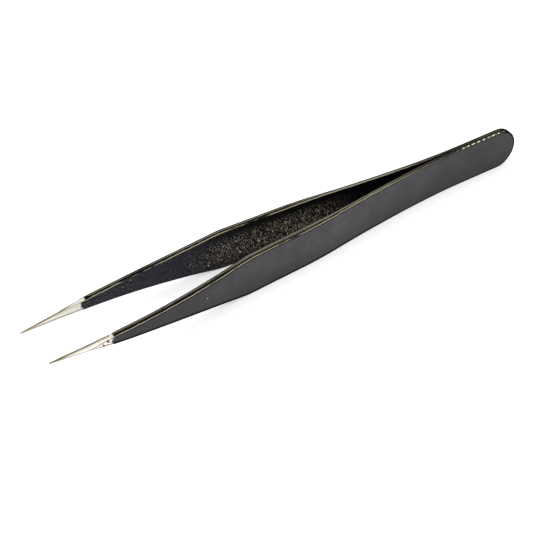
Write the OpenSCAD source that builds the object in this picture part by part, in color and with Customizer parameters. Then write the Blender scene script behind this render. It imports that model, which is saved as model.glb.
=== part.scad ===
// Fine-point precision tweezers: two spring-steel arms, spot-welded together at a
// rounded tail and coated in black up to their bare, needle-ground points.
//
// The tweezers stand on the lower edges of the arms. X runs along them, with the
// points at -X and the tail at +X. Y is the way they open and close: the far arm is
// at +Y and the near arm at -Y. Z is up. The origin is under the middle, at the base.
// A station is a distance from the end of the tail, measured along X.

/* [Overall] */
// Length from the end of the tail to the points
overall_length = 140; // [134:1:150]
// Height of an arm from the tail to the shoulder
arm_height = 10.8; // [10:0.1:12]
// Thickness of the black coating
coating_thickness = 0.08; // [0.05:0.01:0.1]

/* [Thickness of an arm, over its coating] */
// Thickness of the thin spring length
spring_thickness = 0.86; // [0.8:0.02:1]
// Thickness of the stiff blade
blade_thickness = 1.5; // [1.3:0.05:1.7]
// Station where the spring length starts to thicken
thicken_start = 51; // [48:1:55]
// Station where the blade reaches its full thickness
thicken_end = 69; // [65:1:75]

/* [Opening at rest] */
// Station where the two arms part
fork_station = 17.5; // [15:0.5:20]
// Station where an arm leans outwards most
splay_station = 55; // [50:1:60]
// Opening between the arms there
splay_gap = 6.1; // [5.5:0.1:6.5]
// Lean of an arm there, in degrees
splay_angle = 6.7; // [6:0.1:7.4]
// Opening between the arms at the shoulder
shoulder_gap = 10.4; // [10:0.1:10.8]
// Lean of an arm at the shoulder, in degrees
shoulder_lean = 4.7; // [4:0.1:5.4]
// Station where the arms are furthest apart
widest_station = 116; // [110:1:120]
// Widest opening between the arms
widest_gap = 13.2; // [12.8:0.1:13.6]
// Opening between the points
point_gap = 12.4; // [12:0.1:12.7]
// Inward lean of an arm at the points, in degrees
point_toe_in = 1.2; // [0.8:0.1:1.6]

/* [Taper to the points] */
// Station of the shoulder, where the taper starts
shoulder_station = 86; // [82:1:90]
// Slope of the taper's edges just ahead of the shoulder, in degrees
shoulder_slope = 9; // [8.5:0.5:10]
// Station of the neck, where the edges run straight on to the points
neck_station = 121.5; // [118:0.5:122]
// Height of an arm at the neck
neck_height = 2.9; // [2.6:0.1:3.2]
// Length of the bare steel behind the points
bare_length = 16; // [10:0.5:17]
// Height and thickness of each point
point_size = 0.3; // [0.2:0.05:0.5]

/* [Welds in the tail] */
// Diameter of a spot weld
weld_diameter = 3.2; // [2.5:0.1:4]
// Depth of a spot weld into each arm
weld_depth = 0.45; // [0.3:0.05:0.55]
// Station of the rear spot weld
rear_weld_station = 5.5; // [5:0.5:6.5]
// Station of the front spot weld
front_weld_station = 12; // [11.5:0.5:13]

/* [Bending] */
// Station of the line that stands for an arm's bending
flex_station = 34; // [30:1:40]

/* [Hidden] */

// Derived stations and half sizes
half_height = arm_height / 2;
coating_end = overall_length - bare_length;
neck_half = neck_height / 2;
point_half = point_size / 2;
point_run = overall_length - neck_station;

// The weld pad is bare where the arms touch; the coating starts on this short ramp
pad_ramp = 1;

// Spacing of the points along the curved faces and along the tapering edges
face_step = 1.75;
taper_steps = 14;

// Reach past the solids, so that every cut is clean
cut_reach = 1;

// Colours
steel_colour = "#d9d4c8";
coating_colour = "#202224";
weld_colour = "#a8a39a";

// Where a station lies along X
function x_at(station) = overall_length / 2 - station;

// A smooth rise from 0 to 1
function ease(u) = u <= 0 ? 0 : u >= 1 ? 1 : u * u * (3 - 2 * u);

// A curve from height a to height b over a length, leaving and arriving at set slopes
function blend_curve(u, length, a, slope_a, b, slope_b) =
    a * (1 + 2 * u) * pow(1 - u, 2)
    + b * u * u * (3 - 2 * u)
    + length * u * (1 - u) * (slope_a * (1 - u) - slope_b * u);

// The inner face: station, half opening and lean at each place that shapes it
inner_knots = [
    [fork_station, 0, 0],
    [splay_station, splay_gap / 2, tan(splay_angle)],
    [shoulder_station, shoulder_gap / 2, tan(shoulder_lean)],
    [widest_station, widest_gap / 2, 0],
    [overall_length, point_gap / 2, -tan(point_toe_in)]
];

// The knot that starts the stretch a station is on
function knot_at(station, k = 0) =
    k == len(inner_knots) - 2 || station <= inner_knots[k + 1][0] ? k : knot_at(station, k + 1);

function inner_between(station, a, b) =
    blend_curve((station - a[0]) / (b[0] - a[0]), b[0] - a[0], a[1], a[2], b[1], b[2]);

// Distance of an arm's inner face from the middle, over its coating
function inner_y(station) =
    station <= fork_station ? 0
    : inner_between(station, inner_knots[knot_at(station)], inner_knots[knot_at(station) + 1]);

// Thickness of an arm, which thins evenly from the neck to the point
function full_thickness(station) =
    spring_thickness + (blade_thickness - spring_thickness)
    * ease((station - thicken_start) / (thicken_end - thicken_start));
function point_fraction(station) = max(0, (station - neck_station) / point_run);
function arm_thickness(station) =
    full_thickness(station) * (1 - point_fraction(station)) + point_size * point_fraction(station);

function outer_y(station) = inner_y(station) + arm_thickness(station);

// Depth of the steel under the coated shape, which fades out along the bare length
function steel_inset(station) =
    coating_thickness * min(1, (overall_length - station) / bare_length);

// The same under the inner face, which is bare on the weld pad
function pad_inset(station) =
    steel_inset(station) * min(1, max(0, (station - fork_station + pad_ramp) / pad_ramp));

// The taper's edge is straight at both ends and turns between them. The two straight
// runs meet at the corner.
point_rise = (neck_half - point_half) / point_run;
shoulder_rise = tan(shoulder_slope);
corner_station = (half_height + shoulder_rise * shoulder_station - neck_half - point_rise * neck_station)
    / (shoulder_rise - point_rise);
corner_half = half_height - shoulder_rise * (corner_station - shoulder_station);

function taper_point(t) =
    pow(1 - t, 2) * [shoulder_station, half_height]
    + 2 * t * (1 - t) * [corner_station, corner_half]
    + t * t * [neck_station, neck_half];

// The upper edge from the middle of the tail's round end to the point: station, half height
edge_points = concat(
    [[half_height, half_height]],
    [for (k = [0 : taper_steps]) taper_point(k / taper_steps)],
    [[coating_end, point_half + point_rise * bare_length], [overall_length, point_half]]
);

// Stations along the faces: the pad's ramp, then even steps, with every corner kept
step_count = ceil((overall_length - fork_station) / face_step);
face_stations = concat(
    [0, fork_station - pad_ramp],
    [for (k = [0 : step_count]) fork_station + (overall_length - fork_station) * k / step_count]
);

// An arm seen from above, on the far side; bared takes the coating off
module arm_plan(bared) {
    inner = [for (s = face_stations) [x_at(s), inner_y(s) + (bared ? pad_inset(s) : 0)]];
    outer = [for (s = face_stations) [x_at(s), outer_y(s) - (bared ? steel_inset(s) : 0)]];
    reversed = [for (k = [len(outer) - 1 : -1 : 0]) outer[k]];
    polygon(concat(inner, reversed));
}

// An arm seen from the side, with its round tail
module arm_side(bared) {
    upper = [for (p = edge_points) [x_at(p[0]), p[1] - (bared ? steel_inset(p[0]) : 0)]];
    lower = [for (k = [len(upper) - 1 : -1 : 0]) [upper[k][0], -upper[k][1]]];
    tail_radius = half_height - (bared ? coating_thickness : 0);
    polygon(concat(upper, lower));
    translate([x_at(half_height), 0])
        circle(r = tail_radius, $fn = 96);
}

// One whole arm, on the far side
module whole_arm(bared) {
    intersection() {
        translate([0, 0, -cut_reach])
            linear_extrude(arm_height + 2 * cut_reach)
                arm_plan(bared);
        translate([0, overall_length / 2, half_height])
            rotate([90, 0, 0])
                linear_extrude(overall_length)
                    arm_side(bared);
    }
}

// Everything between two stations
module stretch(from_station, to_station) {
    translate([x_at(to_station), -overall_length / 2, -cut_reach])
        cube([to_station - from_station, overall_length, arm_height + 2 * cut_reach]);
}

module weld(station, depth) {
    translate([x_at(station), 0, half_height])
        rotate([90, 0, 0])
            cylinder(d = weld_diameter, h = 2 * depth, center = true, $fn = 64);
}

module heel_steel() {
    difference() {
        intersection() {
            whole_arm(true);
            stretch(-cut_reach, flex_station);
        }
        weld(rear_weld_station, weld_depth);
        weld(front_weld_station, weld_depth);
    }
}

module blade_steel() {
    intersection() {
        whole_arm(true);
        stretch(flex_station, overall_length + cut_reach);
    }
}

module coating(from_station, to_station) {
    intersection() {
        difference() {
            whole_arm(false);
            whole_arm(true);
        }
        stretch(from_station, to_station);
    }
}

// The two arms are mirror images
module near_side() {
    mirror([0, 1, 0])
        children();
}

module near_arm_heel() {
    color(steel_colour)
        near_side()
            heel_steel();
}

module near_arm_blade() {
    color(steel_colour)
        near_side()
            blade_steel();
}

module near_heel_coating() {
    color(coating_colour)
        near_side()
            coating(-cut_reach, flex_station);
}

module near_blade_coating() {
    color(coating_colour)
        near_side()
            coating(flex_station, coating_end);
}

module far_arm_heel() {
    color(steel_colour)
        heel_steel();
}

module far_arm_blade() {
    color(steel_colour)
        blade_steel();
}

module far_heel_coating() {
    color(coating_colour)
        coating(-cut_reach, flex_station);
}

module far_blade_coating() {
    color(coating_colour)
        coating(flex_station, coating_end);
}

module rear_spot_weld() {
    color(weld_colour)
        weld(rear_weld_station, weld_depth);
}

module front_spot_weld() {
    color(weld_colour)
        weld(front_weld_station, weld_depth);
}

near_arm_heel();
near_arm_blade();
near_heel_coating();
near_blade_coating();
far_arm_heel();
far_arm_blade();
far_heel_coating();
far_blade_coating();
rear_spot_weld();
front_spot_weld();
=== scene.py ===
import math
import random

import bmesh
import bpy
import numpy as np
from mathutils import Matrix, Vector, noise


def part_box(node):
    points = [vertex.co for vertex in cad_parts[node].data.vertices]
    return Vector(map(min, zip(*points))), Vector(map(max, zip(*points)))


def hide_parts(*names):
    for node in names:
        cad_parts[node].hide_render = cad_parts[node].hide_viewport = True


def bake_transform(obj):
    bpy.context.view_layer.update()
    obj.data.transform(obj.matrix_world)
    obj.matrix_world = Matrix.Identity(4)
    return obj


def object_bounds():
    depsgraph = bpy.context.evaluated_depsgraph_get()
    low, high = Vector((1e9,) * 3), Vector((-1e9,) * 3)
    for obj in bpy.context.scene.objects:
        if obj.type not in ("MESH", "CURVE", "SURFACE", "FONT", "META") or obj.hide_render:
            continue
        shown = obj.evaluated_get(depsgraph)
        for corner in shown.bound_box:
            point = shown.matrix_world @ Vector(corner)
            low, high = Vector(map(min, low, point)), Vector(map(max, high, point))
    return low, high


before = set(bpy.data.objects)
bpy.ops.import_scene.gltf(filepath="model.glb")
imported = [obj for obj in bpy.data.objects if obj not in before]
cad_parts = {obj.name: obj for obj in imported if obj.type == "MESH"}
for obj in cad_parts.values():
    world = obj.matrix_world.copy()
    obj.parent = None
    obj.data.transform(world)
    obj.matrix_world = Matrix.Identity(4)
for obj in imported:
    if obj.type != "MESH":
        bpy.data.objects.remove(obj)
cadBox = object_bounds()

mm = 0.001
tailX = cadBox[1].x
lengthMm = (cadBox[1].x - cadBox[0].x) / mm
middleZ = (cadBox[0].z + cadBox[1].z) / 2
coatNodes = ["far_heel_coating", "far_blade_coating"]
steelNodes = ["far_arm_heel", "far_arm_blade"]
coatDepth = (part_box("far_blade_coating")[1].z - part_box("far_arm_blade")[1].z) / mm
coatEnd = (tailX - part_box("far_blade_coating")[0].x) / mm
print("frame loaded, coating ends at", round(coatEnd, 2), "mm from the tail")


# the arm's own profile, read from the CAD solids so that the looks follow the design

readout = {
    "spacing": 1.0,         # mm between the places where the CAD arm is measured
    "facePasses": 6,        # rounds of smoothing on the broad faces, which take the CAD facets out
    "edgePasses": 2,        # the same on the upper edge, few so that the shoulder stays crisp
    "nudge": 0.02,          # mm, keeps the first and last cut inside the solids
}


def edgesOf(nodeNames):
    # both ends of every edge of these CAD nodes, in metres
    ends = []
    for name in nodeNames:
        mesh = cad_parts[name].data
        places = np.array([v.co for v in mesh.vertices])
        pairs = np.array([e.vertices for e in mesh.edges])
        ends.append(places[pairs])
    return np.concatenate(ends)


def cutAt(ends, station):
    # nearest side, furthest side and half height of a cut across the arm, in mm
    x = tailX - station * mm
    a = ends[:, 0]
    b = ends[:, 1]
    run = b[:, 0] - a[:, 0]
    crossing = ((a[:, 0] - x) * (b[:, 0] - x) <= 0) & (np.abs(run) > 1e-9)
    share = ((x - a[crossing, 0]) / run[crossing])[:, None]
    cut = a[crossing] + share * (b[crossing] - a[crossing])
    side = np.abs(cut[:, 1])
    return side.min() / mm, side.max() / mm, (cut[:, 2].max() - middleZ) / mm


def smoothed(values, passes):
    out = np.array(values, float)
    for _ in range(passes):
        out[1:-1] = out[1:-1] / 2 + (out[:-2] + out[2:]) / 4
    return out


def readProfile(nodeNames, firstStation, lastStation):
    ends = edgesOf(nodeNames)
    count = int(round((lastStation - firstStation) / readout["spacing"])) + 1
    stations = np.linspace(firstStation, lastStation, count)
    cuts = np.array([cutAt(ends, s) for s in stations])
    return {
        "stations": stations,
        "inner": smoothed(cuts[:, 0], readout["facePasses"]),
        "outer": smoothed(cuts[:, 1], readout["facePasses"]),
        "half": smoothed(cuts[:, 2], readout["edgePasses"]),
    }


def along(profile, name, station):
    return float(np.interp(station, profile["stations"], profile[name]))


tailRadius = (cadBox[1].z - cadBox[0].z) / 2 / mm
coated = readProfile(coatNodes, tailRadius, coatEnd - readout["nudge"])
bare = readProfile(steelNodes, tailRadius, lengthMm - readout["nudge"])
print("arm profile read at", len(coated["stations"]), "and", len(bare["stations"]), "stations")


armShape = {
    "rollHeight": 0.70,      # mm of each broad outer face that rolls over into the edge
    "rollDepth": 0.30,       # mm of the thickness taken by that rolled edge
    "squareness": 4.5,       # 2 is a round roll, more keeps its corner tighter
    "innerRadius": 0.2,      # mm, rounding of the edges on the inner face
    "tailSteps": 20,         # rings round the tail's end
    "ringSpacing": 1.0,      # mm between rings along the arm
    "fineSpacing": 0.14,     # mm between rings where the coating breaks off
    "fineReach": 2.6,        # mm of fine rings on each side of that
    "ribs": 24,              # strips across each broad face
    "cornerSteps": 8,        # steps round each edge's rounding
    "edgeStrips": 4,         # strips across each narrow face
    "padEnd": 16.6,          # mm from the tail, where the bare weld pad stops
    "sharpAngle": 32,        # degrees, a crease steeper than this stays crisp
    "mostOfThickness": 0.42, # no rounding takes more of the thickness than this
    "mostOfHeight": 0.9,     # nor more of the half height
    "mergeWithin": 1e-7,     # m, points closer than this become one
    "noFace": 1e-8,          # m, an edge shorter than this is taken out
}

pointShape = {
    "bevelStart": 126.0,     # mm from the tail, where the outer face starts to be ground away
    "bevelFull": 131.0,      # mm, where the ground bevels reach their full width
    "bevelHeight": 0.58,     # share of the half height that each bevel takes
    "bevelDepth": 0.3,       # share of the thickness that each bevel takes
    "innerEdge": 0.22,       # share of the thickness that the inner edges are rounded by
    "roundSteps": 4,         # rings round the needle's end
    "lastRing": 0.02,        # size of the last of them
    "ridgeTurn": 0.25,       # share of a bevel that its ridge's mark covers
}

brokenEdge = {
    "reach": 3.2,            # mm over which the rings settle back to straight
    "coarse": 0.55,          # large chips per mm along the broken edge
    "coarseDepth": 0.7,      # mm
    "fine": 1.35,            # small teeth per mm
    "fineDepth": 0.45,       # mm
}


def ease(share):
    share = min(1.0, max(0.0, share))
    return share * share * (3 - 2 * share)


def sectionPlan():
    # the points of one ring: from the inner face's lower rib, up, over the upper edge, down and back
    ribs = armShape["ribs"]
    steps = armShape["cornerSteps"]
    strips = armShape["edgeStrips"]
    plan = [("inner", 2 * k / ribs - 1, 0.0) for k in range(ribs + 1)]
    plan += [("inner", 1, k / steps) for k in range(1, steps + 1)]
    plan += [("edge", 1, k / strips) for k in range(1, strips)]
    plan += [("outer", 1, k / steps) for k in range(steps, 0, -1)]
    plan += [("outer", 1 - 2 * k / ribs, 0.0) for k in range(ribs + 1)]
    plan += [("outer", -1, k / steps) for k in range(1, steps + 1)]
    plan += [("edge", -1, k / strips) for k in range(strips - 1, 0, -1)]
    plan += [("inner", -1, k / steps) for k in range(steps, 0, -1)]
    return plan


plan = sectionPlan()


def ringsOf(profile, lastStation):
    # (station, half height, inward direction along, inward direction down, on the tail's end) of each ring
    rings = []
    radius = along(profile, "half", tailRadius)
    for k in range(armShape["tailSteps"]):
        turn = math.pi / 2 * k / armShape["tailSteps"]
        station = tailRadius - radius * math.cos(turn)
        rings.append((station, radius * math.sin(turn), math.cos(turn), -math.sin(turn), True))
    station = tailRadius
    while station < lastStation - armShape["fineSpacing"] / 2:
        ahead = along(profile, "half", station + 0.5)
        behind = along(profile, "half", station - 0.5)
        slope = ahead - behind if station > tailRadius + 1 else 0.0
        size = math.hypot(slope, 1)
        rings.append((station, along(profile, "half", station), slope / size, -1 / size, False))
        near = abs(station - coatEnd) < armShape["fineReach"]
        station += armShape["fineSpacing"] if near else armShape["ringSpacing"]
    rings.append((lastStation, along(profile, "half", lastStation), 0.0, -1.0, False))
    return rings


def ringPoint(ring, part, profile, side, inset, bevel=0.0, slide=0.0, shrink=1.0):
    # one point of one ring, in metres
    station, half, inS, inH, onTail = ring
    kind, lift, turn = part
    thick = along(profile, "outer", station) - along(profile, "inner", station)
    cut = coatDepth if profile is bare else inset
    reachH = (armShape["rollHeight"] if kind == "outer" else armShape["innerRadius"]) - cut
    mostDeep = thick * armShape["mostOfThickness"]
    reachD = min((armShape["rollDepth"] if kind == "outer" else armShape["innerRadius"]) - cut, mostDeep)
    crisp = 0.0
    if bevel > 0 and kind == "inner":
        reachD += bevel * (thick * pointShape["innerEdge"] - reachD)
        reachH += bevel * (reachD - reachH)
    if bevel > 0 and kind == "outer":
        reachD += bevel * (thick * pointShape["bevelDepth"] - reachD)
        reachH += bevel * (half * pointShape["bevelHeight"] - reachH)
        crisp = bevel
    if not onTail:
        reachH = min(reachH, half * armShape["mostOfHeight"])
    power = 2 / armShape["squareness"] if kind == "outer" else 1.0
    roundIn = (1 - math.sin(turn * math.pi / 2) ** power) * (1 - crisp) + (1 - turn) * crisp
    roundDeep = (1 - max(0.0, math.cos(turn * math.pi / 2)) ** power) * (1 - crisp) + turn * crisp
    fromEdge = inset + reachH * roundIn if kind != "edge" else inset
    s = station + inS * fromEdge + slide
    top = half + inH * fromEdge
    if slide and not onTail:
        top += along(bare, "half", station + slide) - along(bare, "half", station)
    inner = along(profile, "inner", s)
    outer = along(profile, "outer", s)
    if kind == "inner":
        y = inner + inset + reachD * roundDeep
    elif kind == "outer":
        y = outer - inset - reachD * roundDeep
    else:
        innerReach = min(armShape["innerRadius"] - cut, mostDeep)
        innerReach += bevel * (thick * pointShape["innerEdge"] - innerReach)
        outerReach = min(armShape["rollDepth"] - cut, mostDeep)
        outerReach += bevel * (thick * pointShape["bevelDepth"] - outerReach)
        low = inner + inset + innerReach
        y = low + (outer - inset - outerReach - low) * turn
    core = (inner + outer) / 2
    y = core + (y - core) * shrink
    return Vector((tailX - s * mm, side * y * mm, middleZ + top * lift * shrink * mm))


def chipSlide(place, part, arm):
    # how far the coating runs past or short of its end at this place on the rim, in mm
    seed = arm["seed"]
    end = arm["coatEnd"] - (arm["edgeLoss"] if part[0] == "edge" or part[2] > 0.5 else 0.0)
    big = 2 * abs(noise.noise(Vector((place.y / mm, place.z / mm, seed)) * brokenEdge["coarse"]))
    small = 2 * abs(noise.noise(Vector((place.z / mm, place.y / mm, seed + 5)) * brokenEdge["fine"]))
    return end - brokenEdge["coarseDepth"] * big - brokenEdge["fineDepth"] * small


def gridFaces(rows, columns, keep):
    # the faces between neighbouring rings, where keep(row, column) says so
    faces = []
    for row in range(rows - 1):
        here = row * columns
        ahead = here + columns
        for column in range(columns):
            if keep(row, column):
                beside = (column + 1) % columns
                faces.append((here + column, here + beside, ahead + beside, ahead + column))
    return faces


def finishMesh(name, verts, faces, kinds, marks, materials):
    # a clean closed mesh with its marks; each point also keeps its place on the flat arm, in mm
    mesh = bpy.data.meshes.new(name)
    mesh.from_pydata(verts, [], faces)
    for mark, values in marks.items():
        layer = mesh.attributes.new(mark, "FLOAT", "POINT")
        layer.data.foreach_set("value", np.array(values, np.float32))
    rest = mesh.attributes.new("restPlace", "FLOAT_VECTOR", "POINT")
    rest.data.foreach_set("vector", (np.array(verts, np.float32) / mm).ravel())
    for material in materials:
        mesh.materials.append(material)
    mesh.polygons.foreach_set("material_index", kinds)
    work = bmesh.new()
    work.from_mesh(mesh)
    bmesh.ops.remove_doubles(work, verts=work.verts, dist=armShape["mergeWithin"])
    bmesh.ops.dissolve_degenerate(work, edges=work.edges, dist=armShape["noFace"])
    bmesh.ops.recalc_face_normals(work, faces=work.faces)
    work.to_mesh(mesh)
    work.free()
    mesh.polygons.foreach_set("use_smooth", [True] * len(mesh.polygons))
    mesh.set_sharp_from_angle(angle=math.radians(armShape["sharpAngle"]))
    mesh.update()
    piece = bpy.data.objects.new(name, mesh)
    bpy.context.scene.collection.objects.link(piece)
    return piece


def edgeSpans():
    # the points of the upper and of the lower edge in a ring, inner face first
    ribs = armShape["ribs"]
    across = armShape["cornerSteps"] * 2 + armShape["edgeStrips"]
    upper = list(range(ribs, ribs + across + 1))
    lower = [k % len(plan) for k in range(2 * (ribs + across), 2 * ribs + across - 1, -1)]
    return upper, lower


def edgeMarks(ring):
    # how far each point of a ring lies from the inner face and from the outer face, in mm over the edge
    fromInner = [0.0] * len(ring)
    fromOuter = [0.0] * len(ring)
    for span in edgeSpans():
        gone = [0.0]
        for a, b in zip(span, span[1:]):
            gone.append(gone[-1] + (ring[b] - ring[a]).length / mm)
        for k, distance in zip(span, gone):
            fromInner[k] = distance
            fromOuter[k] = gone[-1] - distance
    return fromInner, fromOuter


def columnKind(column):
    # which finish a strip of the ring has: 0 outer face, 1 inner face, 2 edges
    ribs = armShape["ribs"]
    across = armShape["cornerSteps"] * 2 + armShape["edgeStrips"]
    if column < ribs:
        return 1
    if ribs + across <= column < 2 * ribs + across:
        return 0
    return 2


flakes = {
    "from": 0.2,             # mm past the coating's end, where scraps of it are left on the steel
    "to": 2.6,
    "setBack": 0.6,          # mm, so that they start behind the coating's furthest reach
    "crowding": 1.5,         # more gathers them at the coating
    "lift": (-0.8, 0.9),     # lowest and highest, 1 is the edge
    "edgeShare": 0.85,       # keeps them off the very edge
    "onInner": 0.4,          # share of them that lie on the inner face
    "size": (0.07, 0.24),    # mm across from the middle
    "uneven": (0.55, 1.15),  # shortest and longest corner
    "stretch": 1.5,          # longer along the arm
    "sunk": -0.02,           # mm into the steel, for the bottom
    "height": 0.035,         # mm above it, for the top
    "topSize": 0.8,
    "corners": 7,
}


def addFlakes(verts, faces, kinds, marks, side, arm):
    # small irregular scraps, each a closed patch lying on the outer or inner face
    seed = int(arm["seed"] * 10)
    start = coatEnd + arm["coatEnd"] - flakes["setBack"] + flakes["from"]
    corners = flakes["corners"]
    dice = random.Random(seed)
    for _ in range(arm["flakes"]):
        station = start + dice.random() ** flakes["crowding"] * (flakes["to"] - flakes["from"])
        middle = along(bare, "half", station) * dice.uniform(*flakes["lift"]) * flakes["edgeShare"]
        onInner = dice.random() < flakes["onInner"]
        size = dice.uniform(*flakes["size"])
        base = len(verts)
        for level, levelSize in ((flakes["sunk"], 1.0), (flakes["height"], flakes["topSize"])):
            local = random.Random(seed + base)
            for k in range(corners):
                angle = 2 * math.pi * k / corners
                reach = size * local.uniform(*flakes["uneven"]) * levelSize
                s = station + flakes["stretch"] * reach * math.cos(angle)
                h = middle + reach * math.sin(angle)
                y = along(bare, "inner", s) - level if onInner else along(bare, "outer", s) + level
                verts.append(Vector((tailX - s * mm, side * y * mm, middleZ + h * mm)))
                for mark in marks:
                    marks[mark].append(station if mark == "station" else 0.0)
        faces.append(tuple(base + k for k in reversed(range(corners))))
        faces.append(tuple(base + corners + k for k in range(corners)))
        for k in range(corners):
            after = (k + 1) % corners
            faces.append((base + k, base + after, base + corners + after, base + corners + k))
        kinds.extend([0] * (corners + 2))


wearPattern = {
    "spread": 0.06,          # changes per mm along the arm
    "least": 0.35,           # wear on the best kept stretch of an upper edge
    "most": 0.85,
    "tailClear": 1.2,        # mm from the tail that is not rubbed
    "heelTo": 24.0,          # mm from the tail, where the heel's wear starts to change to the blade's
    "bladeFrom": 50.0,
    "knocksFrom": 3.5,       # mm from the tail, start of the knocked stretch on the near arm
    "knocksTo": 19.0,
    "knocksFade": 1.5,
}


def wearAt(part, station, seed):
    # rubbing of the upper edges, none on the lower ones
    kind, lift, turn = part
    wave = noise.noise(Vector((station * wearPattern["spread"], seed, 2 if kind == "inner" else 6)))
    level = wearPattern["least"] + (wearPattern["most"] - wearPattern["least"]) * (0.5 + wave)
    return level * ease((station - wearPattern["tailClear"]) / tailRadius) if lift > 0 else 0.0


def knocksAt(part, station):
    # 1 on the upper edge along the knocked stretch
    kind, lift, turn = part
    rise = ease((station - wearPattern["knocksFrom"]) / wearPattern["knocksFade"])
    fall = ease((wearPattern["knocksTo"] - station) / wearPattern["knocksFade"])
    return rise * fall if kind != "inner" and lift > 0 else 0.0


def coatingSkin(name, side, arm, materials):
    rings = ringsOf(coated, coatEnd - readout["nudge"])
    columns = len(plan)
    verts = []
    sameAllOver = ("innerLine", "outerLine", "outerWear", "dust")
    marks = {mark: [] for mark in ("fromInner", "fromOuter", "station", "wear", "knocks", "innerWear")}
    marks.update({mark: [] for mark in sameAllOver})
    heelTo = wearPattern["heelTo"]
    heelToBlade = wearPattern["bladeFrom"] - heelTo
    for inset in (0.0, coatDepth):
        for ring in rings:
            settle = ease(1 - (coatEnd - ring[0]) / brokenEdge["reach"])
            rise = ease((ring[0] - heelTo) / heelToBlade)
            points = []
            for part in plan:
                slide = 0.0
                if settle > 0:
                    rim = ringPoint(rings[-1], part, coated, side, 0.0)
                    slide = settle * chipSlide(rim, part, arm)
                points.append(ringPoint(ring, part, coated, side, inset, slide=slide))
                marks["station"].append(ring[0])
                marks["wear"].append(wearAt(part, ring[0], arm["seed"]))
                marks["knocks"].append(arm["knocked"] * knocksAt(part, ring[0]))
                marks["innerWear"].append(arm["heelWear"] + (arm["bladeWear"] - arm["heelWear"]) * rise)
                for mark in sameAllOver:
                    marks[mark].append(arm[mark])
            fromInner, fromOuter = edgeMarks(points)
            verts.extend(points)
            marks["fromInner"].extend(fromInner)
            marks["fromOuter"].extend(fromOuter)

    def keep(row, column):
        # all but the weld pad
        return column >= armShape["ribs"] or rings[row + 1][0] >= armShape["padEnd"]

    rows = len(rings)
    offset = rows * columns
    skin = gridFaces(rows, columns, keep)
    kinds = [columnKind(f[0] % columns) for f in skin]
    lining = [tuple(v + offset for v in reversed(f)) for f in skin]
    used = set()
    for f in skin:
        used.update(zip(f, f[1:] + f[:1]))
    border = sorted((a, b) for (a, b) in used if (b, a) not in used and max(a, b) >= columns)
    rims = [(b, a, a + offset, b + offset) for (a, b) in border]
    faces = skin + lining + rims
    kinds = kinds + kinds + [2] * len(rims)
    addFlakes(verts, faces, kinds, marks, side, arm)
    return finishMesh(name, verts, faces, kinds, marks, materials)


def cornerGap(points, kind, lift):
    # mm from each point of a ring to the corner where the narrow face meets this broad side
    corner = points[plan.index((kind, lift, 1.0))]
    return [(point - corner).length / mm for point in points]


def armSteel(name, side, arm, materials):
    endRadius = along(bare, "half", lengthMm)
    rings = ringsOf(bare, lengthMm - endRadius)
    columns = len(plan)
    layers = [(ring, 0.0, 1.0) for ring in rings]
    for k in range(1, pointShape["roundSteps"] + 1):     # the needle's rounded end
        turn = math.pi / 2 * k / pointShape["roundSteps"]
        layers.append((rings[-1], endRadius * math.sin(turn), max(math.cos(turn), pointShape["lastRing"])))
    verts = []
    marks = {mark: [] for mark in ("outline", "crest", "underside", "ridge", "station", "wear", "inside")}
    ground = pointShape["bevelFull"] - pointShape["bevelStart"]
    shown, hidden = ("outer", "inner") if side < 0 else ("inner", "outer")
    for ring, push, shrink in layers:
        bevel = ease((ring[0] - pointShape["bevelStart"]) / ground)
        points = [ringPoint(ring, part, bare, side, 0.0, bevel=bevel, shrink=shrink) for part in plan]
        marks["outline"].extend(cornerGap(points, hidden, 1))
        marks["crest"].extend(cornerGap(points, shown, 1))
        marks["underside"].extend(cornerGap(points, shown, -1))
        for part, place in zip(plan, points):
            place.x -= push * mm
            kind, lift, turn = part
            onRidge = kind == "outer" and abs(lift) == 1
            marks["ridge"].append(bevel * max(0.0, 1 - turn / pointShape["ridgeTurn"]) if onRidge else 0.0)
            marks["station"].append(ring[0] + push)
            marks["wear"].append(arm["stained"])
            marks["inside"].append(1.0 if kind == "inner" else 0.0)
        verts.extend(points)
    faces = gridFaces(len(layers), columns, lambda r, c: True)
    last = (len(layers) - 1) * columns
    faces.append(tuple(range(last, last + columns)))
    return finishMesh(name, verts, faces, [0] * len(faces), marks, materials)


# shared node helpers

def feed(tree, node, **inputs):
    # an input is a value or the socket that feeds it; in0 is the first socket, Base_Color the one named so
    for key, value in inputs.items():
        numbered = key.startswith("in") and key[2:].isdigit()
        socket = node.inputs[int(key[2:]) if numbered else key.replace("_", " ")]
        if isinstance(value, bpy.types.NodeSocket):
            tree.links.new(value, socket)
        else:
            socket.default_value = value


def addNode(tree, kind, settings=None, **inputs):
    made = tree.nodes.new(kind)
    for key, value in (settings or {}).items():
        setattr(made, key, value)
    feed(tree, made, **inputs)
    return made


def useGroup(tree, group, **inputs):
    return addNode(tree, "ShaderNodeGroup", {"node_tree": group}, **inputs).outputs


def calc(tree, operation, a, b=0.0):
    return addNode(tree, "ShaderNodeMath", {"operation": operation}, in0=a, in1=b).outputs[0]


def times(tree, product, *others):
    for other in others:
        product = calc(tree, "MULTIPLY", product, other)
    return product


def rerange(tree, value, low, high, toLow=0.0, toHigh=1.0):
    made = addNode(
        tree, "ShaderNodeMapRange", {"interpolation_type": "SMOOTHSTEP"},
        in0=value, in1=low, in2=high, in3=toLow, in4=toHigh,
    )
    return made.outputs[0]


def blendColour(tree, factor, a, b):
    a = (*a, 1) if isinstance(a, tuple) else a
    b = (*b, 1) if isinstance(b, tuple) else b
    made = addNode(tree, "ShaderNodeMix", {"data_type": "RGBA"}, in0=factor, in6=a, in7=b)
    return made.outputs[2]


def marked(tree, name, output="Fac"):
    # what the mesh says about this place
    return addNode(tree, "ShaderNodeAttribute", {"attribute_name": name}).outputs[output]


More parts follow.
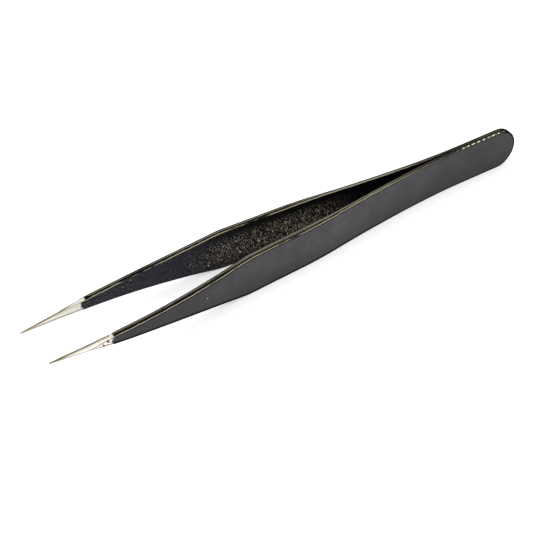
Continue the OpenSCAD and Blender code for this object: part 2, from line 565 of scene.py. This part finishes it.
def noiseAt(tree, place, scale, detail, roughness):
    made = addNode(tree, "ShaderNodeTexNoise", Vector=place, Scale=scale, Detail=detail, Roughness=roughness)
    return made.outputs[0]


def stretched(tree, place, scale):
    return addNode(tree, "ShaderNodeMapping", Vector=place, Scale=scale).outputs[0]


def lineAt(tree, distance, centre, width, gone):
    # 1 along a line at this distance over an edge, fading from 0.3 widths away until gone
    away = calc(tree, "ABSOLUTE", calc(tree, "SUBTRACT", distance, centre))
    return rerange(tree, calc(tree, "DIVIDE", away, width), 0.3, gone, 1.0, 0.0)


def newGroup(name, inputs, outputs):
    # an input is named with its default value, None for a place; each output is a value
    group = bpy.data.node_groups.new(name, "ShaderNodeTree")
    for title, value in inputs.items():
        kind = "NodeSocketVector" if value is None else "NodeSocketFloat"
        socket = group.interface.new_socket(title, in_out="INPUT", socket_type=kind)
        if value is not None:
            socket.default_value = value
    for title in outputs:
        group.interface.new_socket(title, in_out="OUTPUT", socket_type="NodeSocketFloat")
    enter = group.nodes.new("NodeGroupInput")
    leave = group.nodes.new("NodeGroupOutput")
    return group, enter.outputs, leave.inputs


def makeGrain():
    # fine uneven texture of a baked coating, with a slow cloudiness under it
    group, enter, leave = newGroup(
        "grain", {"Place": None, "Scale": 3.0, "Cloud": 0.2}, ["Value", "Cloudy", "Height"],
    )
    fine = noiseAt(group, enter["Place"], enter["Scale"], 3.0, 0.65)
    slow = noiseAt(group, enter["Place"], enter["Cloud"], 2.0, 0.5)
    group.links.new(rerange(group, fine, 0.3, 0.7), leave["Value"])
    group.links.new(rerange(group, slow, 0.3, 0.7), leave["Cloudy"])
    group.links.new(fine, leave["Height"])
    return group


def makeRubbedLine():
    # a thin worn line at a set distance over an edge, wandering a little and broken up
    group, enter, leave = newGroup(
        "rubbedLine",
        {"Distance": 0.0, "Centre": 0.4, "Width": 0.2, "Level": 0.5, "Place": None, "Breaks": 1.3},
        ["Mask"],
    )
    breaks = noiseAt(group, stretched(group, enter["Place"], (0.35, 1.0, 1.0)), enter["Breaks"], 4.0, 0.6)
    wander = noiseAt(group, enter["Place"], 0.5, 2.0, 0.5)
    centre = calc(group, "ADD", enter["Centre"], rerange(group, wander, 0.3, 0.7, -0.05, 0.05))
    line = lineAt(group, enter["Distance"], centre, enter["Width"], 0.65)
    body = calc(group, "ADD", times(group, breaks, 0.9), enter["Level"])
    group.links.new(times(group, line, rerange(group, body, 0.62, 1.05)), leave["Mask"])
    return group


def makeKnocks():
    # short separate dashes along the arm where an edge has been knocked bright
    group, enter, leave = newGroup(
        "knocks",
        {"Distance": 0.0, "Centre": 0.6, "Width": 0.2, "Level": 0.0, "Place": None, "Scale": 1.2},
        ["Mask"],
    )
    dashes = noiseAt(group, stretched(group, enter["Place"], (1.0, 0.15, 0.15)), enter["Scale"], 2.0, 0.6)
    line = lineAt(group, enter["Distance"], enter["Centre"], enter["Width"], 0.6)
    group.links.new(times(group, line, rerange(group, dashes, 0.47, 0.52), enter["Level"]), leave["Mask"])
    return group


def makeSpecks():
    # sparse small round specks; Share is the part of the cells that carry one
    group, enter, leave = newGroup(
        "specks", {"Place": None, "Scale": 0.3, "Size": 0.06, "Share": 0.3}, ["Mask"],
    )
    cells = addNode(group, "ShaderNodeTexVoronoi", Vector=enter["Place"], Scale=enter["Scale"])
    hue = addNode(group, "ShaderNodeSeparateColor", in0=cells.outputs["Color"])
    close = calc(group, "LESS_THAN", cells.outputs["Distance"], enter["Size"])
    chosen = calc(group, "LESS_THAN", hue.outputs[0], enter["Share"])
    group.links.new(times(group, close, chosen), leave["Mask"])
    return group


def makeSpot():
    # one small round mark at a set place
    group, enter, leave = newGroup("spot", {"Place": None, "At": None, "Size": 0.15}, ["Mask"])
    away = addNode(
        group, "ShaderNodeVectorMath", {"operation": "DISTANCE"}, in0=enter["Place"], in1=enter["At"],
    )
    near = calc(group, "DIVIDE", away.outputs["Value"], enter["Size"])
    group.links.new(rerange(group, near, 0.7, 1.1, 1.0, 0.0), leave["Mask"])
    return group


def makeGroundLines():
    # streaks left by grinding along the arm
    group, enter, leave = newGroup("groundLines", {"Place": None, "Across": 3.0}, ["Value", "Height"])
    lines = noiseAt(group, stretched(group, enter["Place"], (0.05, 1.0, 1.0)), enter["Across"], 4.0, 0.7)
    group.links.new(rerange(group, lines, 0.32, 0.68), leave["Value"])
    group.links.new(lines, leave["Height"])
    return group


grain = makeGrain()
rubbedLine = makeRubbedLine()
knocks = makeKnocks()
specks = makeSpecks()
spot = makeSpot()
groundLines = makeGroundLines()


def newMaterial(name, **plain):
    material = bpy.data.materials.new(name)
    material.use_nodes = True
    shader = material.node_tree.nodes["Principled BSDF"]
    for key, value in plain.items():
        shader.inputs[key.replace("_", " ")].default_value = value
    return material, material.node_tree, shader


def heightOf(tree, place):
    return addNode(tree, "ShaderNodeSeparateXYZ", in0=place).outputs[2]


def addSpots(tree, place, colour, side, profile, spots, paint):
    # marks at (station, height, size) on one broad face of one arm
    for station, height, size in spots:
        at = (tailX / mm - station, side * along(coated, profile, station), height)
        mark = useGroup(tree, spot, Place=place, At=at, Size=size)
        colour = blendColour(tree, mark["Mask"], colour, paint)
    return colour


# a fade below is (from, to, strength before, strength after); stations and heights are in mm

faceFinish = {
    "dark": (0.0045, 0.0045, 0.006),
    "light": (0.036, 0.035, 0.042),
    "speck": (0.42, 0.42, 0.37),
    "grainScale": 2.6,                       # per mm
    "cloudScale": 0.16,
    "grainShare": 0.6,                       # the rest is cloud
    "leastTone": 0.25,
    "heelFade": (12.0, 48.0, 0.2, 1.0),      # the face is lightest in the middle of its length
    "pointFade": (80.0, 108.0, 1.0, 0.35),
    # painted shade: the face darkens towards its lower edge, where it would reflect the arm's own shadow on
    # the floor
    "shadeBelowFade": (0.0, 7.5, 0.25, 1.0),
    "roughness": (0.52, 0.38),
    "spots": [(98.5, 5.3, 0.17), (60.5, 3.1, 0.11)],     # mm from the tail, mm up, mm across
}


def makeFaceCoat():
    material, tree, shader = newMaterial("blackCoatFace", Specular_IOR_Level=0.41)
    place = marked(tree, "restPlace", "Vector")
    station = marked(tree, "station")
    texture = useGroup(
        tree, grain, Place=place, Scale=faceFinish["grainScale"], Cloud=faceFinish["cloudScale"],
    )
    fine = times(tree, texture["Value"], faceFinish["grainShare"])
    mixed = calc(tree, "ADD", fine, times(tree, texture["Cloudy"], 1 - faceFinish["grainShare"]))
    # tone from grain and cloud, lightest mid-length, with painted shade towards the lower edge
    tone = times(
        tree, calc(tree, "ADD", mixed, faceFinish["leastTone"]),
        rerange(tree, station, *faceFinish["heelFade"]),
        rerange(tree, station, *faceFinish["pointFade"]),
        rerange(tree, heightOf(tree, place), *faceFinish["shadeBelowFade"]),
    )
    colour = blendColour(tree, tone, faceFinish["dark"], faceFinish["light"])
    dots = useGroup(tree, specks, Place=place, Scale=0.26, Size=0.035, Share=0.1)
    colour = blendColour(tree, dots["Mask"], colour, faceFinish["speck"])
    colour = addSpots(tree, place, colour, -1, "outer", faceFinish["spots"], faceFinish["speck"])
    bump = addNode(tree, "ShaderNodeBump", Strength=0.5, Distance=0.00003, Height=texture["Height"])
    roughness = rerange(tree, mixed, 0, 1, *faceFinish["roughness"])
    feed(tree, shader, Base_Color=colour, Roughness=roughness, Normal=bump.outputs[0])
    return material


insideFinish = {
    "black": (0.0022, 0.0024, 0.0030),
    "reflectedBluish": (0.052, 0.056, 0.068),         # painted reflection: the face lighter and bluish towards the point
    # brown and rust are the colours of the rough grit and of its painted glints
    "brown": (0.78, 0.71, 0.58),
    "rust": (0.52, 0.40, 0.28),
    "flake": (0.52, 0.44, 0.20),
    "riseFade": (46.0, 62.0, 0.0, 1.0),      # the stretch along the arm where the rough grit is painted catching the light
    "ebbFade": (79.0, 99.0, 1.0, 0.0),
    "topFade": (6.6, 9.7, 1.0, 0.0),         # and up the face
    "bottomFade": (1.0, 3.8, 0.2, 1.0),
    "patchFade": (0.0, 1.0, 0.55, 1.0),      # cloudiness of it
    "bluishFade": (74.0, 104.0, 0.0, 1.0),
    "fineShare": 0.75,                       # of the fine grain in the grit, the rest is coarse
    "gritFrom": 0.60,
    "gritFull": 0.80,
    "roughness": (0.45, 0.7),
    "spots": [(89.6, 2.4, 0.24), (110.5, 7.0, 0.16), (94.5, 4.6, 0.15), (112.6, 5.9, 0.13)],
}


def makeInsideCoat():
    material, tree, shader = newMaterial("blackCoatInside", Specular_IOR_Level=0.04)
    place = marked(tree, "restPlace", "Vector")
    station = marked(tree, "station")
    height = heightOf(tree, place)
    texture = useGroup(tree, grain, Place=place, Scale=3.0, Cloud=0.3)
    coarse = useGroup(tree, grain, Place=place, Scale=1.9, Cloud=0.7)
    fine = times(tree, texture["Value"], insideFinish["fineShare"])
    gritAndGlints = calc(tree, "ADD", fine, times(tree, coarse["Value"], 1 - insideFinish["fineShare"]))
    # rough grit with painted glints, kept to the stretch and heights where light catches the face
    gritAndGlints = times(
        tree, rerange(tree, gritAndGlints, insideFinish["gritFrom"], insideFinish["gritFull"]),
        rerange(tree, station, *insideFinish["riseFade"]),
        rerange(tree, station, *insideFinish["ebbFade"]),
        rerange(tree, height, *insideFinish["topFade"]),
        rerange(tree, height, *insideFinish["bottomFade"]),
        rerange(tree, coarse["Cloudy"], *insideFinish["patchFade"]),
    )
    # painted reflection: the inside face lighter towards the point, darkest in the shut-in fork
    reflectionToTip = times(tree, texture["Value"], rerange(tree, station, *insideFinish["bluishFade"]))
    base = blendColour(tree, reflectionToTip, insideFinish["black"], insideFinish["reflectedBluish"])
    gritGlintColour = blendColour(tree, coarse["Cloudy"], insideFinish["brown"], insideFinish["rust"])
    colour = blendColour(tree, gritAndGlints, base, gritGlintColour)
    dots = useGroup(tree, specks, Place=place, Scale=0.3, Size=0.05, Share=0.22)
    colour = blendColour(tree, dots["Mask"], colour, insideFinish["flake"])
    colour = addSpots(tree, place, colour, 1, "inner", insideFinish["spots"], insideFinish["flake"])
    bump = addNode(tree, "ShaderNodeBump", Strength=0.6, Distance=0.00004, Height=texture["Height"])
    roughness = rerange(tree, gritAndGlints, 0, 1, *insideFinish["roughness"])
    feed(tree, shader, Base_Color=colour, Roughness=roughness, Normal=bump.outputs[0])
    return material


edgeFinish = {
    # the edges' black, left without reflection, stands as painted shade on the rolls
    "dark": (0.0035, 0.0035, 0.0045),
    "face": (0.052, 0.052, 0.057),           # painted reflection: the start of the roll carries the face's reflected light
    "heelDust": (0.020, 0.018, 0.016),
    "midDust": (0.118, 0.104, 0.086),
    "bladeDust": (0.022, 0.020, 0.017),
    "rubbed": (0.42, 0.385, 0.27),
    "knocked": (0.95, 0.90, 0.74),
    "midFade": (14.0, 56.0, 0.0, 1.0),       # from the heel's dust to the middle's
    "bladeFade": (84.0, 95.0, 0.0, 1.0),     # and on to the blade's
    "faceFade": (0.15, 0.4, 1.0, 0.0),       # mm over the roll
    "faceAlong": (34.0, 56.0, 1.0, 0.3),
    "outerFade": (20.0, 50.0, 0.25, 1.0),    # the outer line is weaker near the tail
    "corner": 0.70,                          # mm over the roll to its very corner
    "flat": 0.55,                            # mm from there to the middle of the narrow face
    "lineWidth": 0.24,                       # mm, the rubbed lines
    "outerBreaks": 1.3,                      # per mm
    "innerBreaks": 1.1,
    "knockCentre": 0.64,                     # mm over the roll
    "knockWidth": 0.34,
    "knockScale": 1.7,
    "roughness": (0.38, 0.52),
}


def makeEdgeCoat():
    # this coat reflects nothing: its black stands as painted shade on the rolls, the face colour as painted
    # reflection
    material, tree, shader = newMaterial("blackCoatEdge", Specular_IOR_Level=0.0)
    place = marked(tree, "restPlace", "Vector")
    station = marked(tree, "station")
    wear = marked(tree, "wear")
    fromOuter = marked(tree, "fromOuter")
    texture = useGroup(tree, grain, Place=place, Scale=3.0, Cloud=0.25)
    dust = blendColour(
        tree, rerange(tree, station, *edgeFinish["midFade"]), edgeFinish["heelDust"], edgeFinish["midDust"],
    )
    dust = blendColour(tree, rerange(tree, station, *edgeFinish["bladeFade"]), dust, edgeFinish["bladeDust"])
    onTop = times(
        tree, rerange(tree, fromOuter, edgeFinish["corner"], edgeFinish["corner"] + edgeFinish["flat"]),
        rerange(tree, wear, 0.0, 0.3),
        rerange(tree, texture["Value"], 0, 1, 0.45, 1.0),
        marked(tree, "dust"),
    )
    faceReflectionMask = times(
        tree, rerange(tree, fromOuter, *edgeFinish["faceFade"]),
        rerange(tree, station, *edgeFinish["faceAlong"]),
    )
    colour = blendColour(tree, faceReflectionMask, edgeFinish["dark"], edgeFinish["face"])
    colour = blendColour(tree, onTop, colour, dust)
    outer = useGroup(
        tree, rubbedLine, Distance=fromOuter, Centre=marked(tree, "outerLine"),
        Width=edgeFinish["lineWidth"], Level=wear, Place=place, Breaks=edgeFinish["outerBreaks"],
    )
    inner = useGroup(
        tree, rubbedLine, Distance=marked(tree, "fromInner"), Centre=marked(tree, "innerLine"),
        Width=edgeFinish["lineWidth"], Level=wear, Place=place, Breaks=edgeFinish["innerBreaks"],
    )
    outerFade = rerange(tree, station, *edgeFinish["outerFade"])
    outerWorn = times(tree, outer["Mask"], outerFade, marked(tree, "outerWear"))
    innerWorn = times(tree, inner["Mask"], marked(tree, "innerWear"))
    worn = times(tree, calc(tree, "MAXIMUM", outerWorn, innerWorn), rerange(tree, wear, 0.0, 0.2))
    rubbed = addNode(tree, "ShaderNodeClamp", in0=worn).outputs[0]
    hits = useGroup(
        tree, knocks, Distance=fromOuter, Centre=edgeFinish["knockCentre"], Width=edgeFinish["knockWidth"],
        Level=marked(tree, "knocks"), Place=place, Scale=edgeFinish["knockScale"],
    )
    colour = blendColour(tree, rubbed, colour, edgeFinish["rubbed"])
    colour = blendColour(tree, hits["Mask"], colour, edgeFinish["knocked"])
    metal = times(tree, calc(tree, "MAXIMUM", times(tree, rubbed, 0.5), hits["Mask"]), 0.5)
    bump = addNode(tree, "ShaderNodeBump", Strength=0.4, Distance=0.00002, Height=texture["Height"])
    roughness = rerange(tree, texture["Value"], 0, 1, *edgeFinish["roughness"])
    feed(tree, shader, Base_Color=colour, Metallic=metal, Roughness=roughness, Normal=bump.outputs[0])
    return material


steelFinish = {
    "bright": (0.97, 0.95, 0.90),
    "grey": (0.84, 0.82, 0.75),
    "innerBright": (0.71, 0.69, 0.61),
    "innerGrey": (0.60, 0.585, 0.51),
    "outline": (0.12, 0.078, 0.012),         # painted dark reflection along the upper corner on the hidden side, brown
    "crest": (0.42, 0.34, 0.17),
    "shade": (0.25, 0.22, 0.19),
    "burnt": (0.32, 0.27, 0.20),
    "residue": (0.012, 0.011, 0.010),
    "rust": (0.22, 0.10, 0.03),
    "facetFrom": (125.0, 6.0),               # station and height of the line where the last facet was ground
    "facetTo": (131.5, 4.75),
    "facetFade": (0.14, 0.3, 1.0, 0.0),      # mm from that line
    "facetEnd": 0.5,                         # mm over which it stops
    "underFade": (0.3, 0.75, 1.0, 0.0),      # mm from the lower corner
    "underShade": 0.9,
    "ridgeShade": 0.5,
    "crestFade": (0.05, 0.2, 0.8, 0.0),      # mm from the near upper corner
    "outlineFade": (0.3, 0.5, 1.0, 0.0),     # mm from the far one
    "outlineAlong": (124.5, 127.5, 0.35, 1.0),
    "burntFade": (136.5, 139.8, 0.0, 0.8),
    "stainFade": (126.0, 128.6, 1.0, 0.0),   # rust and residue beside the coating
    "residueFrom": 0.74,
    "rustFrom": 0.8,
    "roughness": (0.42, 0.28),
}


def facetLine(tree, station, height):
    # 1 along the slanting line where the last facet of the outer face was ground
    startStation, startHeight = steelFinish["facetFrom"]
    endStation, endHeight = steelFinish["facetTo"]
    wanted = addNode(
        tree, "ShaderNodeMapRange", in0=station,
        in1=startStation, in2=endStation, in3=startHeight, in4=endHeight,
    )
    apart = calc(tree, "ABSOLUTE", calc(tree, "SUBTRACT", height, wanted.outputs[0]))
    return times(
        tree, rerange(tree, apart, *steelFinish["facetFade"]),
        rerange(tree, station, endStation - steelFinish["facetEnd"], endStation, 1.0, 0.0),
    )


def makePointSteel():
    material, tree, shader = newMaterial("pointSteel", Metallic=1.0)
    place = marked(tree, "restPlace", "Vector")
    station = marked(tree, "station")
    inside = marked(tree, "inside")
    lines = useGroup(tree, groundLines, Place=place, Across=2.6)
    ground = blendColour(tree, lines["Value"], steelFinish["grey"], steelFinish["bright"])
    satin = blendColour(tree, lines["Value"], steelFinish["innerGrey"], steelFinish["innerBright"])
    colour = blendColour(tree, inside, ground, satin)
    patchy = rerange(tree, lines["Value"], 0, 1, 1.0, 0.7)
    facet = times(
        tree, facetLine(tree, station, heightOf(tree, place)), calc(tree, "SUBTRACT", 1.0, inside), patchy,
    )
    under = times(
        tree, rerange(tree, marked(tree, "underside"), *steelFinish["underFade"]), steelFinish["underShade"],
    )
    ridge = times(tree, marked(tree, "ridge"), steelFinish["ridgeShade"])
    shade = calc(tree, "MAXIMUM", ridge, calc(tree, "MAXIMUM", facet, under))
    colour = blendColour(tree, shade, colour, steelFinish["shade"])
    # painted dark reflections along both upper corners, brown
    crest = times(tree, rerange(tree, marked(tree, "crest"), *steelFinish["crestFade"]), patchy)
    colour = blendColour(tree, crest, colour, steelFinish["crest"])
    outline = times(
        tree, rerange(tree, marked(tree, "outline"), *steelFinish["outlineFade"]),
        rerange(tree, station, *steelFinish["outlineAlong"]), patchy,
    )
    colour = blendColour(tree, outline, colour, steelFinish["outline"])
    burnt = rerange(tree, station, *steelFinish["burntFade"])
    colour = blendColour(tree, burnt, colour, steelFinish["burnt"])
    beside = times(tree, rerange(tree, station, *steelFinish["stainFade"]), marked(tree, "wear"))
    texture = useGroup(tree, grain, Place=place, Scale=2.2, Cloud=1.5)
    rust = times(tree, rerange(tree, texture["Cloudy"], steelFinish["rustFrom"], 0.95), beside)
    residue = times(tree, rerange(tree, texture["Value"], steelFinish["residueFrom"], 0.9), beside)
    colour = blendColour(tree, rust, colour, steelFinish["rust"])
    colour = blendColour(tree, residue, colour, steelFinish["residue"])
    metal = calc(tree, "SUBTRACT", 1.0, residue)
    bump = addNode(tree, "ShaderNodeBump", Strength=0.5, Distance=0.00002, Height=lines["Height"])
    roughness = rerange(tree, lines["Value"], 0, 1, *steelFinish["roughness"])
    feed(tree, shader, Base_Color=colour, Metallic=metal, Roughness=roughness, Normal=bump.outputs[0])
    return material


weldFinish = {
    "core": (0.42, 0.40, 0.38),
    "halo": (0.20, 0.13, 0.09),
    "grainScale": 1800.0,    # per m, the welds carry no marks of their own
    "cloudScale": 500.0,
    "roughness": (0.35, 0.6),
}


def makeWeldMetal():
    material, tree, shader = newMaterial("weldMetal", Metallic=1.0)
    place = addNode(tree, "ShaderNodeTexCoord").outputs["Object"]
    texture = useGroup(
        tree, grain, Place=place, Scale=weldFinish["grainScale"], Cloud=weldFinish["cloudScale"],
    )
    colour = blendColour(tree, texture["Cloudy"], weldFinish["core"], weldFinish["halo"])
    bump = addNode(tree, "ShaderNodeBump", Strength=0.5, Distance=0.00003, Height=texture["Height"])
    roughness = rerange(tree, texture["Value"], 0, 1, *weldFinish["roughness"])
    feed(tree, shader, Base_Color=colour, Roughness=roughness, Normal=bump.outputs[0])
    return material


coatFinishes = [makeFaceCoat(), makeInsideCoat(), makeEdgeCoat()]
pointSteel = makePointSteel()
weldMetal = makeWeldMetal()
print("materials made")


def addArm(side, sideName, arm):
    steel = armSteel(sideName + "_arm_steel", side, arm, [pointSteel])
    skin = coatingSkin(sideName + "_arm_coating", side, arm, coatFinishes)
    for piece in (steel, skin):
        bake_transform(piece)
    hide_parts(sideName + "_arm_heel", sideName + "_arm_blade")
    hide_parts(sideName + "_heel_coating", sideName + "_blade_coating")
    print(sideName, "arm built:", len(steel.data.vertices), "and", len(skin.data.vertices), "points")


nearArm = {
    "seed": 3.1,
    "coatEnd": 0.6,          # mm the coating runs past its drawn end before it chips
    "edgeLoss": 0.0,         # mm more of it lost on the narrow edges
    "flakes": 18,            # scraps of coating left on the steel
    "stained": 1.0,          # residue on the steel beside the coating
    "knocked": 1.0,          # bright knocks on the upper corner near the tail
    "innerLine": 0.66,       # mm over the inner corner, where its rubbed line runs
    "outerLine": 0.48,       # mm over the rolled outer edge, the same
    "heelWear": 0.12,        # how strong the inner line is near the tail
    "bladeWear": 0.55,       # and towards the point
    "outerWear": 1.0,        # how strong the outer line is
    "dust": 1.0,             # how dusty the flat between the two lines is
}
farArm = {                   # the same, darker on its narrow face and cleaner at the point
    "seed": 11.4,
    "coatEnd": 0.15,
    "edgeLoss": 1.3,
    "flakes": 4,
    "stained": 0.15,
    "knocked": 0.0,
    "innerLine": 0.17,
    "outerLine": 1.2,
    "heelWear": 0.25,
    "bladeWear": 1.3,
    "outerWear": 0.6,
    "dust": 0.12,
}
addArm(-1, "near", nearArm)
addArm(1, "far", farArm)

for name in ("rear_spot_weld", "front_spot_weld"):
    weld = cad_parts[name]
    weld.data.materials.clear()
    weld.data.materials.append(weldMetal)


viewpoint = {
    "azimuth": -35.114,      # degrees round the object
    "elevation": 38.517,     # degrees above the bench
    "distance": 0.47837,     # m from the object's middle, along the view
    "right": 0.005419,       # m, how far the middle lies right of the picture's centre
    "up": 0.00679,           # m, how far above it
    "lens": 135.1,           # mm
    "sensor": 36.0,          # mm
    "clip": (0.01, 50.0),    # m
}


def placeCamera():
    around = math.radians(viewpoint["azimuth"])
    above = math.radians(viewpoint["elevation"])
    level = math.cos(above)
    back = Vector((math.sin(around) * level, -math.cos(around) * level, math.sin(above)))
    right = Vector((math.cos(around), math.sin(around), 0))
    up = back.cross(right)
    data = bpy.data.cameras.new("camera")
    data.lens = viewpoint["lens"]
    data.sensor_width = viewpoint["sensor"]
    data.clip_start, data.clip_end = viewpoint["clip"]
    camera = bpy.data.objects.new("camera", data)
    bpy.context.scene.collection.objects.link(camera)
    middle = Vector((0, 0, middleZ))
    place = middle - right * viewpoint["right"] - up * viewpoint["up"] + back * viewpoint["distance"]
    turn = Matrix((right, up, back)).transposed().to_4x4()
    camera.matrix_world = Matrix.Translation(place) @ turn
    bpy.context.scene.camera = camera


placeCamera()

studio = {
    "wallBack": (0.95, 0.95, 0.95),
    "wallFront": (0.85, 0.85, 0.85),
    "backTowards": (0.45, 0.85, 0.0),    # where the lighter wall is
    "wallFade": (-0.7, 0.5),             # from the front wall to the back one, 1 is straight at it
    "softboxSize": 0.5,                  # m
    "softboxPlace": (-0.10, 0.16, 0.55),
    "softboxPower": 0.6,                 # W
    "floorColour": (0.93, 0.93, 0.93, 1),
    "floorGlow": 0.40,                   # a lit table: the paper glows a little from below
    "floorSize": 6.0,                    # m
    "floorRoughness": 0.9,
}


def makeWorld():
    world = bpy.data.worlds.new("studio")
    bpy.context.scene.world = world
    world.use_nodes = True
    tree = world.node_tree
    tree.nodes.clear()
    direction = addNode(tree, "ShaderNodeTexCoord").outputs["Generated"]
    towards = addNode(
        tree, "ShaderNodeVectorMath", {"operation": "DOT_PRODUCT"}, in0=direction, in1=studio["backTowards"],
    )
    fade = rerange(tree, towards.outputs["Value"], *studio["wallFade"])
    colour = blendColour(tree, fade, studio["wallFront"], studio["wallBack"])
    sky = addNode(tree, "ShaderNodeBackground", Color=colour, Strength=1.0)
    out = tree.nodes.new("ShaderNodeOutputWorld")
    tree.links.new(sky.outputs[0], out.inputs[0])


def makeSoftbox():
    light = bpy.data.lights.new("softbox", "AREA")
    light.shape = "SQUARE"
    light.size = studio["softboxSize"]
    light.energy = studio["softboxPower"]
    box = bpy.data.objects.new("softbox", light)
    box.location = studio["softboxPlace"]
    box.rotation_mode = "QUATERNION"
    box.rotation_quaternion = (-box.location).to_track_quat("-Z", "Y")
    bpy.context.scene.collection.objects.link(box)


def makeFloor():
    half = studio["floorSize"] / 2
    corners = [(-half, -half, 0), (half, -half, 0), (half, half, 0), (-half, half, 0)]
    mesh = bpy.data.meshes.new("floor")
    mesh.from_pydata(corners, [], [(0, 1, 2, 3)])
    floor = bpy.data.objects.new("floor", mesh)
    bpy.context.scene.collection.objects.link(floor)
    paper = newMaterial(
        "whitePaper", Base_Color=studio["floorColour"], Roughness=studio["floorRoughness"],
        Specular_IOR_Level=0.1, Emission_Color=(1, 1, 1, 1), Emission_Strength=studio["floorGlow"],
    )
    mesh.materials.append(paper[0])


view = bpy.context.scene.view_settings
view.view_transform = "Standard"
view.look = "None"
makeWorld()
makeSoftbox()
makeFloor()
print("camera, floor and light in place")
